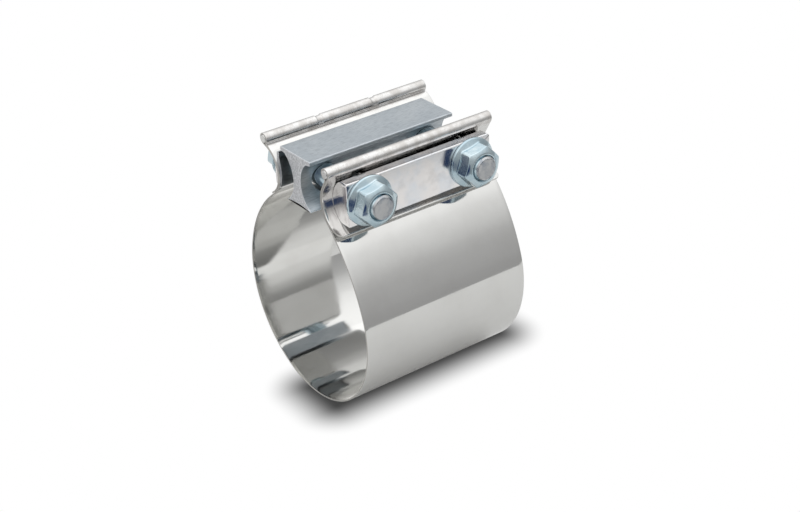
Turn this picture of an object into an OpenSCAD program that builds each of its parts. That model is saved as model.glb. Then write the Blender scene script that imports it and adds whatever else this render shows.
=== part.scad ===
// Butt joint exhaust clamp for a three inch pipe.
// The pipe runs along Y, and its centre is the origin. The band's two folded ends rise at +Z.
// The nuts are on the +X side and the bolt heads on the -X side.

/* [Band] */
// Inside diameter of the band: the pipe's diameter and a little slack
bore_d = 77; // [70:0.5:130]
// Thickness of the band's sheet
band_t = 0.6; // [0.4:0.05:0.8]
// Width of the band along the pipe
band_w = 72.5; // [66:0.5:110]
// Height of the bolts' centre line above the pipe hole
bolt_rise = 10.5; // [10:0.1:14]
// Angle from the top at which the loose band starts to flare towards its folds
flare_from = 72; // [66:1:80]
// Straight length between the round part and the flare
lead_l = 1; // [0.5:0.5:3]
// Straight length between the flare and a rounded fold
flare_l = 2; // [1:0.5:4]
// Gap between the two layers of sheet where an end is folded back
fold_gap = 0.1; // [0.05:0.05:0.3]
// Distance from the middle to the centre of the nut side's rounded fold
nut_fold_x = 26.6; // [24:0.1:32]
// Distance from the middle to the centre of the head side's rounded fold
head_fold_x = 22; // [20.2:0.1:24]
// Angle at which the nut side's free end leaves its bar
nut_wrap_end = 254; // [240:1:264]
// Length of the nut side's straight lip
nut_lip_l = 3.2; // [3:0.1:5]
// Angle at which the head side's free end leaves its bar
head_wrap_end = 236; // [228:1:260]
// Length of the head side's straight lip
head_lip_l = 3.6; // [3:0.1:5]
// Radius of the corners of the two free ends
lip_corner_r = 2.8; // [1:0.1:2.9]

/* [Rods] */
// Diameter of the rod in each folded loop
rod_d = 3.2; // [2:0.1:4]
// Distance between the centres of the two rods
rod_spread = 40.2; // [39:0.1:44]
// Radial clearance of a rod in its loop
rod_fit = 0.03; // [0.01:0.01:0.1]
// How far a rod stands out of its loop at each end
rod_proud = 0.3; // [0:0.1:2]
// Middle radius of the small bend in which the sheet turns back round the rod
neck_r = 0.5; // [0.5:0.05:1.2]
// Straight length between that small bend and the nearer rounded fold
neck_l = 0.05; // [0.05:0.05:2]
// Distance between the two crimps on the head side's loop
crimp_pitch = 24.6; // [10:0.2:60]
// Width of a crimp
crimp_w = 3; // [1:0.1:5]
// Depth of a crimp
crimp_depth = 0.35; // [0.05:0.05:0.35]

/* [Bars] */
// Distance from each rim of the band to the bars' ends
bar_inset = 4.5; // [3.5:0.25:6]
// Height of a bar
bar_h = 17; // [12:0.1:18.5]
// Depth of a bar, from its rounded back to its flat face
bar_depth = 9.2; // [7:0.1:9.6]
// Radius of a bar's rounded back
bar_r = 9.6; // [9.3:0.05:10.4]
// Radial clearance between a bar and the sheet round it
bar_fit = 0.03; // [0.01:0.01:0.1]
// Radius of the flat face's four corners
bar_corner_r = 1; // [0.5:0.1:3]
// Chamfer along a bar's edges
bar_chamfer = 0.35; // [0.1:0.05:1]

/* [Spacer block] */
// Mean distance from each rim of the band to the block's ends
block_inset = 4.25; // [2.5:0.25:7]
// Width of the block's flat top
block_w = 19.5; // [17:0.1:21]
// Width of the block across its feet
feet_w = 15.5; // [12:0.1:17]
// Height of the block over the middle of its curved underside
block_h = 20.1; // [19.5:0.1:24]
// Thickness of the web between the two hollow sides
web_t = 4.8; // [3:0.1:7]
// Radius of the two hollow sides
hollow_r = 11.3; // [11:0.1:12]
// Thickness of the top flange at its edge
flange_t = 1.5; // [0.8:0.1:3]
// Slope of the flange's underside
flange_slope = 10; // [0:1:20]
// Chamfer along the flange's top edges
block_chamfer = 0.3; // [0.1:0.05:0.7]
// Offset of the block towards the bolt heads
block_back = 4.2; // [2:0.1:5]
// Offset of the block towards the front
block_front = 1.2; // [0:0.1:2]
// Clearance between the nearer foot and the pipe hole
foot_clear = 0.07; // [0.02:0.01:0.5]

/* [Bolts and nuts] */
// Diameter of a bolt's shank
bolt_d = 9.5; // [8:0.1:10]
// Length of a bolt under its head
bolt_l = 57.15; // [56.5:0.05:70]
// Chamfer at a bolt's tip
bolt_chamfer = 0.7; // [0.2:0.1:1.5]
// Distance from each rim of the band to the nearer bolt
bolt_inset = 13.45; // [12.75:0.05:15.25]
// Size of the hexagons across their flats
hex_af = 14.29; // [13.5:0.01:15.5]
// Diameter of the round flange under a hexagon
washer_d = 19.05; // [17:0.05:21]
// Thickness of the round flange at its rim
rim_t = 1.1; // [0.6:0.1:2]
// Height of the round flange's cone over its rim
cone_h = 1.4; // [0.5:0.1:2.5]
// Diameter of the cone's top, inside the hexagon
cone_d = 13; // [11:0.1:13.4]
// Height of a bolt head with its flange
head_h = 8; // [6:0.1:11]
// Height of a nut with its flange
nut_h = 7.8; // [6:0.1:11]
// Diameter of a hexagon's flat end face
hex_face_d = 13.4; // [12:0.1:14.2]
// Turn of each hexagon from the row of bolts
hex_turn = 12; // [0:1:59]
// Radial clearance of a bolt in its nut
thread_fit = 0.05; // [0.01:0.01:0.1]
// Diameter of the countersink at a nut's outer face
countersink_d = 10.3; // [10:0.1:12]
// Distance between a seated flange and its bar
seat_gap = 0.1; // [0.05:0.05:0.3]

/* [Bolt holes] */
// Diameter of the bolt holes in the bars
bar_hole_d = 10.3; // [10.2:0.1:12]
// Diameter of the bolt holes in the band
band_hole_d = 11; // [10.2:0.1:13]
// Diameter of the bolt holes in the block's web
web_hole_d = 11.1; // [10.2:0.1:13]
// Clearance between the bolts and the block that hangs on them
hang_gap = 0.03; // [0.02:0.01:0.2]

/* [Hidden] */
$fn = 120;

over = 1;                   // how far a cutter runs past what it cuts
lap = 0.08;                 // how far a straight stretch of sheet runs into the bends at its ends
skin = 0.005;               // how much thinner it is there on each face, so that it ends inside them
bore_r = bore_d / 2;
bolt_z = bore_r + bolt_rise;
bar_l = band_w - 2 * bar_inset;
block_l = band_w - 2 * block_inset;
rear_y = band_w / 2 - bolt_inset;
front_y = -rear_y;

// Middle radii of the sheet: round the pipe, round a rod, and in the two layers round a bar
ring_r = bore_r + band_t / 2;
loop_r = rod_d / 2 + rod_fit + band_t / 2;
free_r = bar_r + bar_fit + band_t / 2;
strap_r = free_r + band_t + fold_gap;

// The small bend at a loop's neck: how far its centre lies from the rod's, across and along
neck_side = loop_r - band_t - fold_gap - neck_r;
neck_drop = sqrt(pow(loop_r + neck_r, 2) - pow(neck_side, 2));
neck_tilt = atan2(neck_side, neck_drop);

// The rods stand as high as the neck above the nearer fold needs
rod_x = rod_spread / 2;
rod_offset = min(abs(nut_fold_x - rod_x), abs(head_fold_x - rod_x));
rod_z = bolt_z
    + sqrt(pow(free_r + loop_r, 2) + pow(neck_drop + neck_l, 2) - pow(rod_offset, 2));
rod = [rod_x, rod_z];

// The block hangs on the bolts, and its nearer foot stays clear of the pipe hole
block_x = -block_back;
foot_x = feet_w / 2 - block_back;
block_lift = sqrt(pow(bore_r + foot_clear, 2) - pow(foot_x, 2))
    - sqrt(pow(bore_r, 2) - pow(feet_w / 2, 2));
block_top = block_lift + bore_r + block_h;
web_hole_z = bolt_z - (web_hole_d - bolt_d) / 2 + hang_gap;

// Flat faces of the two bars, and the seats of the nuts and heads on them
bar_face = bar_depth - bar_r;
nut_seat = nut_fold_x + bar_face + seat_gap;
head_seat = head_fold_x + bar_face + seat_gap;

// Point at distance r from the origin, at angle a
function polar(r, a) = r * [cos(a), sin(a)];

// Centre of a rounded fold, in the plane across the pipe
function fold(fold_x) = [fold_x, bolt_z];

// Angle at which the round part ends, and the straight stretch that leads on from there
flare_start = 90 - flare_from;
lead = polar(lead_l, flare_start + 90);

// How much larger than the round part's the flare's radius is, so that it ends at the fold
function flare_more(fold_x) =
    (pow(norm(fold(fold_x) - lead), 2) - pow(ring_r + strap_r, 2) - pow(flare_l, 2))
    / (2 * (ring_r + strap_r - fold(fold_x) * polar(1, flare_start)));
function flare_r(fold_x) = ring_r + flare_more(fold_x);
function flare_centre(fold_x) = lead - flare_more(fold_x) * polar(1, flare_start);

// Angle at which the flare ends and the straight sheet to the fold begins
function leave_angle(fold_x) =
    let (to_fold = fold(fold_x) - flare_centre(fold_x))
    atan2(to_fold[1], to_fold[0]) - atan2(flare_l, flare_r(fold_x) + strap_r);

// Angle at which both layers leave the fold's back and run side by side to the rod's loop
function neck_angle(fold_x) =
    atan2(rod[1] - bolt_z, rod[0] - fold_x)
    + acos((free_r + loop_r) / norm(rod - fold(fold_x)));

// Centre of the small bend in which the strap layer turns back round the rod
function neck_centre(fold_x) =
    rod - polar(neck_drop, neck_angle(fold_x) - 90) - polar(neck_side, neck_angle(fold_x));

// Straight sheet between two points of the cross-section
module strip(from, to) {
    run = to - from;
    thickness = band_t - 2 * skin;
    translate(from)
        rotate(atan2(run[1], run[0]))
            translate([-lap, -thickness / 2])
                square([norm(run) + 2 * lap, thickness]);
}

// Sheet bent about a centre at middle radius r, from angle a0 to the larger angle a1
module bend(centre, r, a0, a1) {
    steps = ceil((a1 - a0) / 60);
    reach = 1.3 * (r + band_t);
    translate(centre)
        intersection() {
            difference() {
                circle(r + band_t / 2);
                circle(r - band_t / 2);
            }
            polygon([[0, 0], for (i = [0:steps]) polar(reach, a0 + i * (a1 - a0) / steps)]);
        }
}

// Short straight sheet across the place where two bends meet
module knuckle(place, angle) {
    translate(place)
        rotate(angle)
            square([2 * lap, band_t - 2 * skin], center = true);
}

// Extrusion along the pipe, centred, of a section drawn in X and Z
module along_pipe(length) {
    rotate([90, 0, 0])
        linear_extrude(length, center = true)
            children();
}

// The strap layer from the round part along the flare, round the fold's back and round the rod
module strap_section(fold_x) {
    leave = leave_angle(fold_x);
    high = neck_angle(fold_x);
    neck = neck_centre(fold_x);
    back = high - 90 + neck_tilt;
    strip(polar(ring_r, flare_start), polar(ring_r, flare_start) + lead);
    bend(flare_centre(fold_x), flare_r(fold_x), flare_start, leave);
    strip(flare_centre(fold_x) + polar(flare_r(fold_x), leave),
          fold(fold_x) - polar(strap_r, leave));
    bend(fold(fold_x), strap_r, high, 180 + leave);
    strip(fold(fold_x) + polar(strap_r, high), neck - polar(neck_r, high));
    bend(neck, neck_r, high - 180, back);
    knuckle(neck + polar(neck_r, back), back + 90);
    bend(rod, loop_r, high - 180, back + 180);
}

// The free layer from the rod down between strap and bar, to its straight lip
module free_section(fold_x, wrap_end, lip_l) {
    high = neck_angle(fold_x);
    lip_start = fold(fold_x) + polar(free_r, wrap_end);
    strip(rod - polar(loop_r, high), fold(fold_x) + polar(free_r, high));
    bend(fold(fold_x), free_r, high, wrap_end);
    strip(lip_start, lip_start + polar(lip_l - lap, wrap_end + 90));
}

// The free layer, with its two corners rounded
module free_layer(fold_x, wrap_end, lip_l) {
    lip_end = fold(fold_x) + polar(free_r, wrap_end) + polar(lip_l, wrap_end + 90);
    difference() {
        along_pipe(band_w) free_section(fold_x, wrap_end, lip_l);
        translate([lip_end[0], 0, lip_end[1]])
            rotate([0, -wrap_end - 90, 0])
                for (end = [0, 1]) mirror([0, end, 0]) lip_corner();
    }
}

// What is cut away at a free corner, seen from the end of the lip
module lip_corner() {
    depth = 4 * lip_corner_r;
    translate([-lip_corner_r, band_w / 2 - lip_corner_r, 0])
        difference() {
            translate([0, 0, -depth / 2])
                cube([lip_corner_r + over, lip_corner_r + over, depth]);
            cylinder(h = depth + 2 * over, r = lip_corner_r, center = true);
        }
}

// The two holes for the bolts, from x0 to x1
module bolt_holes(d, x0, x1, z) {
    for (y = [front_y, rear_y])
        translate([x0, y, z])
            rotate([0, 90, 0])
                cylinder(h = x1 - x0, d = d);
}

// Shallow groove pressed round the head side's loop
module crimp() {
    outer_r = loop_r + band_t / 2;
    rotate([90, 0, 0])
        difference() {
            cylinder(h = crimp_w, r = outer_r + over, center = true);
            cylinder(h = crimp_w + over, r = outer_r - crimp_depth, center = true);
            translate([-outer_r - 2 * over, -2 * outer_r - 2 * over, -crimp_w])
                cube([2 * outer_r + 4 * over, 2 * outer_r + 2 * over, 2 * crimp_w]);
        }
}

module band() {
    color("gainsboro")
        difference() {
            union() {
                along_pipe(band_w) {
                    bend([0, 0], ring_r, 180 - flare_start, 360 + flare_start);
                    strap_section(nut_fold_x);
                    mirror([1, 0]) strap_section(head_fold_x);
                }
                free_layer(nut_fold_x, nut_wrap_end, nut_lip_l);
                mirror([1, 0, 0]) free_layer(head_fold_x, head_wrap_end, head_lip_l);
            }
            bolt_holes(band_hole_d, -head_fold_x, nut_fold_x, bolt_z);
            for (y = [-crimp_pitch / 2, crimp_pitch / 2])
                translate([-rod_x, y, rod_z]) crimp();
        }
}

module rod_at(x) {
    color("lightgrey")
        translate([x, 0, rod_z])
            rotate([90, 0, 0])
                cylinder(h = band_w + 2 * rod_proud, d = rod_d, center = true);
}

// Rectangle with round corners
module round_rectangle(w, h, r) {
    square([w - 2 * r, h], center = true);
    square([w, h - 2 * r], center = true);
    for (x = [-1, 1], y = [-1, 1])
        translate([x * (w / 2 - r), y * (h / 2 - r)]) circle(r);
}

// Section of a bar about its fold's centre, with the flat face towards +X
module bar_section() {
    edge = bar_h / 2;
    intersection() {
        circle(bar_r);
        polygon([[-bar_r - over, -edge], [bar_face - bar_chamfer, -edge],
                 [bar_face, -edge + bar_chamfer], [bar_face, edge - bar_chamfer],
                 [bar_face - bar_chamfer, edge], [-bar_r - over, edge]]);
    }
}

// A D-shaped bar, with its flat face towards +X
module bar(fold_x) {
    color("lightsteelblue")
        difference() {
            translate([fold_x, 0, bolt_z])
                intersection() {
                    along_pipe(bar_l) bar_section();
                    rotate([0, 90, 0])
                        linear_extrude(2 * bar_r + 2 * over, center = true)
                            round_rectangle(bar_h, bar_l, bar_corner_r);
                }
            bolt_holes(bar_hole_d, fold_x - bar_r - over, fold_x + over, bolt_z);
        }
}

// Right half of the space that each hollow side takes from the block, about the hole's height
module hollow_section() {
    edge_z = block_top - web_hole_z - flange_t;
    root_z = edge_z - block_w / 2 * tan(flange_slope);
    reach = 2 * hollow_r;
    intersection() {
        translate([web_t / 2 + hollow_r, 0]) circle(hollow_r);
        polygon([[0, root_z], [block_w / 2, edge_z], [reach, edge_z], [reach, -reach], [0, -reach]]);
    }
}

// Section of the block: a flat top, two hollow sides and an underside that fits the pipe
module block_section() {
    top = block_w / 2;
    foot = feet_w / 2;
    difference() {
        polygon([[-foot, bore_r / 2], [foot, bore_r / 2], [foot, web_hole_z], [top, web_hole_z],
                 [top, block_top - block_chamfer], [top - block_chamfer, block_top],
                 [-top + block_chamfer, block_top], [-top, block_top - block_chamfer],
                 [-top, web_hole_z], [-foot, web_hole_z]]);
        translate([0, block_lift]) circle(bore_r);
        translate([0, web_hole_z]) {
            hollow_section();
            mirror([1, 0]) hollow_section();
        }
    }
}

module spacer_block() {
    color("slategray")
        difference() {
            translate([block_x, -block_front, 0]) along_pipe(block_l) block_section();
            bolt_holes(web_hole_d, block_x - block_w / 2, block_x + block_w / 2, web_hole_z);
        }
}

// Hexagon with a round flange below it, standing on its seat and rising along +Z
module flanged_hexagon(h) {
    corner_r = hex_af / sqrt(3);
    reach = corner_r + over;
    reach_z = h - (reach - hex_face_d / 2) * tan(30);
    intersection() {
        rotate(90 + hex_turn) cylinder(h = h, r = corner_r, $fn = 6);
        rotate_extrude()
            polygon([[0, -over], [reach, -over], [reach, reach_z], [hex_face_d / 2, h], [0, h]]);
    }
    rotate_extrude()
        polygon([[0, 0], [washer_d / 2, 0], [washer_d / 2, rim_t],
                 [cone_d / 2, rim_t + cone_h], [0, rim_t + cone_h]]);
}

// A bolt with its head on the head side's bar and its tip through the nut
module bolt(y) {
    color("lightblue")
        translate([-head_seat, y, bolt_z]) {
            rotate([0, 90, 0])
                rotate_extrude()
                    polygon([[0, -over], [bolt_d / 2, -over], [bolt_d / 2, bolt_l - bolt_chamfer],
                             [bolt_d / 2 - bolt_chamfer, bolt_l], [0, bolt_l]]);
            rotate([0, -90, 0])
                flanged_hexagon(head_h);
        }
}

// A flanged nut seated on the nut side's bar
module nut(y) {
    thread_d = bolt_d + 2 * thread_fit;
    sink_h = (countersink_d - thread_d) / 2;
    color("lightblue")
        translate([nut_seat, y, bolt_z])
            rotate([0, 90, 0])
                difference() {
                    flanged_hexagon(nut_h);
                    translate([0, 0, -over]) cylinder(h = nut_h + 2 * over, d = thread_d);
                    translate([0, 0, nut_h - sink_h])
                        cylinder(h = sink_h + over, d1 = thread_d, d2 = countersink_d + 2 * over);
                }
}

module nut_side_rod() { rod_at(rod_x); }
module head_side_rod() { rod_at(-rod_x); }
module nut_side_bar() { bar(nut_fold_x); }
module head_side_bar() { mirror([1, 0, 0]) bar(head_fold_x); }
module front_bolt() { bolt(front_y); }
module rear_bolt() { bolt(rear_y); }
module front_nut() { nut(front_y); }
module rear_nut() { nut(rear_y); }

band();
nut_side_rod();
head_side_rod();
spacer_block();
nut_side_bar();
head_side_bar();
front_bolt();
rear_bolt();
front_nut();
rear_nut();
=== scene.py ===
# %% [markdown]
# The finished look of a butt joint exhaust clamp, made in Blender.
# The clamp is one mirror-polished band of stainless sheet. Its two ends wrap round D-shaped bars,
# and two bolts pull them together over an aluminium spacer block.
# The imported CAD model gives every piece its place, so this script starts by loading it. It could
# also model everything afresh, but then the looks and the CAD's shapes could drift apart.

# %% Load the imported clamp
import math

import bmesh
import bpy
from mathutils import Matrix, Vector, noise


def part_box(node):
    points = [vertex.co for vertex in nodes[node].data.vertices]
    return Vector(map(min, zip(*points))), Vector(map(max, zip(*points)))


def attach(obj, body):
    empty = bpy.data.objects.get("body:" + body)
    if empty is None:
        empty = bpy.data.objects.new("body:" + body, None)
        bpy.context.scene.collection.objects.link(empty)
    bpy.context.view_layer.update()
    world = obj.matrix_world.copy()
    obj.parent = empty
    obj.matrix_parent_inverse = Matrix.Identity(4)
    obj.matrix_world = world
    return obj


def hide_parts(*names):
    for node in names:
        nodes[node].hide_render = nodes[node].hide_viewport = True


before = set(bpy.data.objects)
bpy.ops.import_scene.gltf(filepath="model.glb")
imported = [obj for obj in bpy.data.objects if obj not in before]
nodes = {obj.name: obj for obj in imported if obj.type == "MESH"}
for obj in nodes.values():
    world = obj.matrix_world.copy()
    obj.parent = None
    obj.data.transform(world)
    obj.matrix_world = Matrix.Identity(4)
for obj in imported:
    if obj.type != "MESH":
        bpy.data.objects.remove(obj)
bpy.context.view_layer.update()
MM = 0.001
print("loaded", len(nodes), "CAD nodes")


# %% [markdown]
# The clamp's main sizes, in millimetres, are the values that the CAD source names. They could be
# measured on the loaded pieces instead, but named sizes keep every bend exact. The cell prints two
# of them beside the CAD's own, to show that they agree.

# %% Sizes of the band, its folds and its rods
BORE_R = 38.5
SHEET_T = 0.6
BAND_W = 72.5
BOLT_Z = 49.0
NUT_FOLD_X = 26.6
HEAD_FOLD_X = 22.0
BAR_R = 9.6
BAR_FIT = 0.03
FOLD_GAP = 0.1
FLARE_START = 18
LEAD_L = 1.0
FLARE_L = 2.0
ROD_D = 3.2
ROD_FIT = 0.03
ROD_X = 20.1
NECK_R = 0.5
NUT_WRAP_END = 254
NUT_LIP_L = 3.2
HEAD_WRAP_END = 236
HEAD_LIP_L = 3.6
LIP_CORNER_R = 2.8
CRIMP_YS = (-12.3, 12.3)

RING_R = BORE_R + SHEET_T / 2
LOOP_R = ROD_D / 2 + ROD_FIT + SHEET_T / 2
FREE_R = BAR_R + BAR_FIT + SHEET_T / 2
STRAP_R = FREE_R + SHEET_T + FOLD_GAP


def box_mm(node_name):
    """Lowest and highest corner of a CAD node, in millimetres."""
    low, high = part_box(node_name)
    return Vector(low) / MM, Vector(high) / MM


rod_low, rod_high = box_mm("nut_side_rod")
ROD_Z = (rod_low.z + rod_high.z) / 2
band_low, band_high = box_mm("band")
print("band radius", BORE_R + SHEET_T, "in the CAD", round(-band_low.z, 2))
print("band width", BAND_W, "in the CAD", round(band_high.y - band_low.y, 2))


# %% [markdown]
# A piece made here is a plain mesh built from lists of points and faces. One helper turns the lists
# into an object, and flips any face that points inwards, which matters for smooth metal shading.

# %% Helper that makes a mesh object
def make_piece(name, points_mm, faces, smooth=True):
    """A mesh object from points in millimetres."""
    mesh = bpy.data.meshes.new(name)
    mesh.from_pydata([Vector(p) * MM for p in points_mm], [], faces)
    bm = bmesh.new()
    bm.from_mesh(mesh)
    bmesh.ops.recalc_face_normals(bm, faces=bm.faces)
    bm.to_mesh(mesh)
    bm.free()
    for face in mesh.polygons:
        face.use_smooth = smooth
    piece = bpy.data.objects.new(name, mesh)
    bpy.context.scene.collection.objects.link(piece)
    return piece


print("helper", make_piece.__name__, "is ready")


# %% [markdown]
# The band is one strip of sheet, so it is built the way it is bent: a path in the plane across the
# pipe, and the sheet's thin section swept along it. Bending a flat strip with a curve modifier
# would also work, but a computed path keeps the bends exact, which a mirror finish shows at once.
# The path runs from the nut side's lip round its bar, over the rod, down and round the pipe, and
# up the other side in the mirrored order.

# %% Path of the sheet
def polar(radius, angle):
    """Point at this radius and angle in degrees, in the plane across the pipe."""
    return Vector((radius * math.cos(math.radians(angle)), radius * math.sin(math.radians(angle))))


def angle_of(vector):
    """Angle of a vector in degrees."""
    return math.degrees(math.atan2(vector.y, vector.x))


def arc_points(centre, radius, start, end, longest=0.7, widest=5.0):
    """Points on an arc, spaced by at most a length in mm and an angle in degrees."""
    steps = max(abs(end - start) / widest, math.radians(abs(end - start)) * radius / longest)
    steps = max(2, math.ceil(steps))
    return [centre + polar(radius, start + (end - start) * i / steps) for i in range(steps + 1)]


def fold_path(fold_x, wrap_end, lip_length):
    """Points from a free lip round the bar, round the rod and down the fold's back."""
    fold = Vector((fold_x, BOLT_Z))
    rod = Vector((ROD_X, ROD_Z))
    to_rod = rod - fold
    # The flare is an arc, wider than the ring by so much that a straight FLARE_L meets the fold.
    reach = RING_R + STRAP_R
    lead = polar(LEAD_L, FLARE_START + 90)
    more = (fold - lead).length ** 2 - reach ** 2 - FLARE_L ** 2
    more /= 2 * (reach - fold.dot(polar(1, FLARE_START)))
    flare = lead - polar(more, FLARE_START)
    leave = angle_of(fold - flare) - math.degrees(math.atan2(FLARE_L, reach + more))
    # Both layers leave the fold at the angle high. The one that runs on to the ring has a neck.
    high = angle_of(to_rod) + math.degrees(math.acos((FREE_R + LOOP_R) / to_rod.length))
    side = LOOP_R - SHEET_T - FOLD_GAP - NECK_R
    drop = math.sqrt((LOOP_R + NECK_R) ** 2 - side ** 2)
    neck = rod - polar(drop, high - 90) - polar(side, high)
    back = angle_of(rod - neck)
    lip_start = fold + polar(FREE_R, wrap_end)
    along_lip = polar(1, wrap_end + 90)
    lip_steps = 16
    path = [lip_start + along_lip * lip_length * (1 - i / lip_steps) for i in range(lip_steps)]
    path += arc_points(fold, FREE_R, wrap_end, high)
    path += arc_points(rod, LOOP_R, high - 180, back + 180, longest=0.25, widest=9)
    path += arc_points(neck, NECK_R, back, high - 180, longest=0.12, widest=12)[1:]
    path += arc_points(fold, STRAP_R, high, 180 + leave)
    path += arc_points(flare, RING_R + more, leave, FLARE_START, longest=1.2)
    return path


nut_path = fold_path(NUT_FOLD_X, NUT_WRAP_END, NUT_LIP_L)
head_path = fold_path(HEAD_FOLD_X, HEAD_WRAP_END, HEAD_LIP_L)
ring_path = arc_points(Vector((0, 0)), RING_R, FLARE_START, -180 - FLARE_START, longest=1.2)
path = nut_path + ring_path + [Vector((-p.x, p.y)) for p in reversed(head_path)]
travel = [0.0]
for before, after in zip(path, path[1:]):
    travel.append(travel[-1] + (after - before).length)
print("sheet path", len(path), "points,", round(travel[-1], 1), "mm long")


# %% [markdown]
# The section that is swept is the sheet's thin rectangle. A sheared edge is never knife-sharp, so
# the rectangle's corners are slightly rounded and catch a line of light. Towards the sheet's two
# ends the section shrinks, which rounds the four corners of the lips.

# %% Section of the sheet
EDGE_R = 0.14
EDGE_STEPS = 4
PLAIN_STEPS = 24
CRIMP_HALF_W = 1.5
CRIMP_STEPS = 5


def width_stations():
    """Places across the width, from -1 to 1, closer together round the crimps."""
    plain = [i / PLAIN_STEPS for i in range(PLAIN_STEPS + 1)]
    crimp = [(CRIMP_YS[1] + CRIMP_HALF_W * k / CRIMP_STEPS) / (BAND_W / 2 - EDGE_R)
             for k in range(-CRIMP_STEPS - 1, CRIMP_STEPS + 2)]
    keep = [s for s in plain if not crimp[0] - 0.01 < s < crimp[-1] + 0.01]
    half = sorted(keep + crimp)
    return [-s for s in reversed(half) if s > 0] + half


def half_width(travelled):
    """Half the sheet's width, which shrinks round the corners at its two free ends."""
    left = min(travelled, travel[-1] - travelled)
    if left >= LIP_CORNER_R:
        return BAND_W / 2
    short = LIP_CORNER_R - left
    return BAND_W / 2 - LIP_CORNER_R + math.sqrt(LIP_CORNER_R ** 2 - short ** 2)


def half_thickness(travelled):
    """Half the sheet's thickness, rounded off at the very ends."""
    left = min(travelled, travel[-1] - travelled)
    if left >= EDGE_R:
        return SHEET_T / 2
    return SHEET_T / 2 - EDGE_R + math.sqrt(EDGE_R ** 2 - (EDGE_R - left) ** 2)


def sheet_section(half_w, half_t):
    """The section's closed outline: place across, height over the middle, and 1 on the rim."""
    edge = min(EDGE_R, half_t)
    flat = [(s * (half_w - edge), half_t, 0) for s in width_stations()]
    upper = []
    for i in range(1, EDGE_STEPS + 1):
        a = math.radians(90 - 90 * i / EDGE_STEPS)
        upper.append((half_w - edge + edge * math.cos(a), half_t - edge + edge * math.sin(a), 1))
    right = upper + [(y, -t, 1) for y, t, _ in reversed(upper)]
    left = [(-y, t, r) for y, t, r in reversed(right)]
    under = [(y, -t, r) for y, t, r in reversed(flat)]
    return flat + right + under + left


print("section", len(sheet_section(BAND_W / 2, SHEET_T / 2)), "points")


# %% [markdown]
# Rolled sheet is never quite flat. A little slow noise, a few hundredths of a millimetre, moves the
# round part inwards and makes its reflections waver. A displace modifier could do that too, but it
# would also move the folds. The crimps are two grooves that a press leaves across the loop on the
# bolt heads' side.

# %% Waves and crimps in the sheet
WAVE_DEPTH = 0.05
WAVE_TOP_Z = 34
WAVE_FADE = 14
CRIMP_DEPTH = 0.35
CRIMP_LOW_Z = ROD_Z - 0.4


def waviness(point, y):
    """How far rolling and handling push the round part of the sheet inwards."""
    fade = min(1, max(0, (WAVE_TOP_Z - point.y) / WAVE_FADE))
    long_wave = noise.noise(Vector((point.x / 26, y / 40, point.y / 26)))
    short_wave = noise.noise(Vector((point.x / 11 + 7, y / 30, point.y / 11)))
    return fade * WAVE_DEPTH * (0.6 + 0.5 * long_wave + 0.16 * short_wave)


def crimp_depth(point, y):
    """Depth of the groove pressed into the outside of the head side's loop."""
    on_loop = point.x < 0 and (point - Vector((-ROD_X, ROD_Z))).length < LOOP_R + 0.01
    if not on_loop or point.y < CRIMP_LOW_Z:
        return 0
    near = min(abs(y - c) for c in CRIMP_YS) / CRIMP_HALF_W
    return CRIMP_DEPTH * max(0, 1 - near ** 4) if near < 1 else 0


print("crimps at y", CRIMP_YS, "and", CRIMP_DEPTH, "mm deep")


# %% [markdown]
# Now the section travels along the path, square to it at every point, and neighbouring sections
# are joined by faces. Each point remembers whether it lies on the sheet's rim, so that the finish
# can tell the sheared edge from the polished faces.

# %% Sweep the band
def sweep_band():
    """The whole band as one closed mesh, with the share of rim at each point."""
    points, rims, rows = [], [], []
    last = len(path) - 1
    for i, centre in enumerate(path):
        tangent = (path[min(i + 1, last)] - path[max(i - 1, 0)]).normalized()
        outwards = Vector((-tangent.y, tangent.x))
        row = []
        for y, t, rim in sheet_section(half_width(travel[i]), half_thickness(travel[i])):
            push = waviness(centre, y)
            if t < 0:
                push -= crimp_depth(centre, y)
            spot = centre + outwards * (t - push)
            row.append(len(points))
            points.append((spot.x, y, spot.y))
            rims.append(rim)
        rows.append(row)
    faces = []
    for a, b in zip(rows, rows[1:]):
        n = len(a)
        faces += [(a[k], a[(k + 1) % n], b[(k + 1) % n], b[k]) for k in range(n)]
    faces += [tuple(rows[0]), tuple(reversed(rows[-1]))]
    band = make_piece("band_sheet", points, faces)
    rim_share = band.data.attributes.new("rim", "FLOAT", "POINT")
    rim_share.data.foreach_set("value", rims)
    return band


band = sweep_band()
print("band", len(band.data.polygons), "faces")


# %% [markdown]
# Each fold has two layers of sheet, and the bolts pass through both. A boolean modifier punches
# the holes, with a round bar as the punch, and the result is kept as mesh. Leaving the holes out
# of the sweep would also work, but a round hole doesn't follow the sweep's square grid.

# %% Punch the bolt holes
BAND_HOLE_R = 5.5
PUNCH_START_X = 5
nut_low, nut_high = box_mm("front_nut")
bolt_low, bolt_high = box_mm("front_bolt")
BOLT_Y = abs(nut_low.y + nut_high.y) / 2


def round_bar(name, radius, x0, x1, y, z, segments=64):
    """A closed cylinder along X, used only to cut with."""
    ring = [(radius * math.cos(a), radius * math.sin(a))
            for a in (2 * math.pi * k / segments for k in range(segments))]
    points = [(x, y + a, z + b) for x in (x0, x1) for a, b in ring]
    sides = [(k, (k + 1) % segments, segments + (k + 1) % segments, segments + k)
             for k in range(segments)]
    ends = [tuple(range(segments)), tuple(reversed(range(segments, 2 * segments)))]
    return make_piece(name, points, sides + ends, smooth=False)


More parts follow.
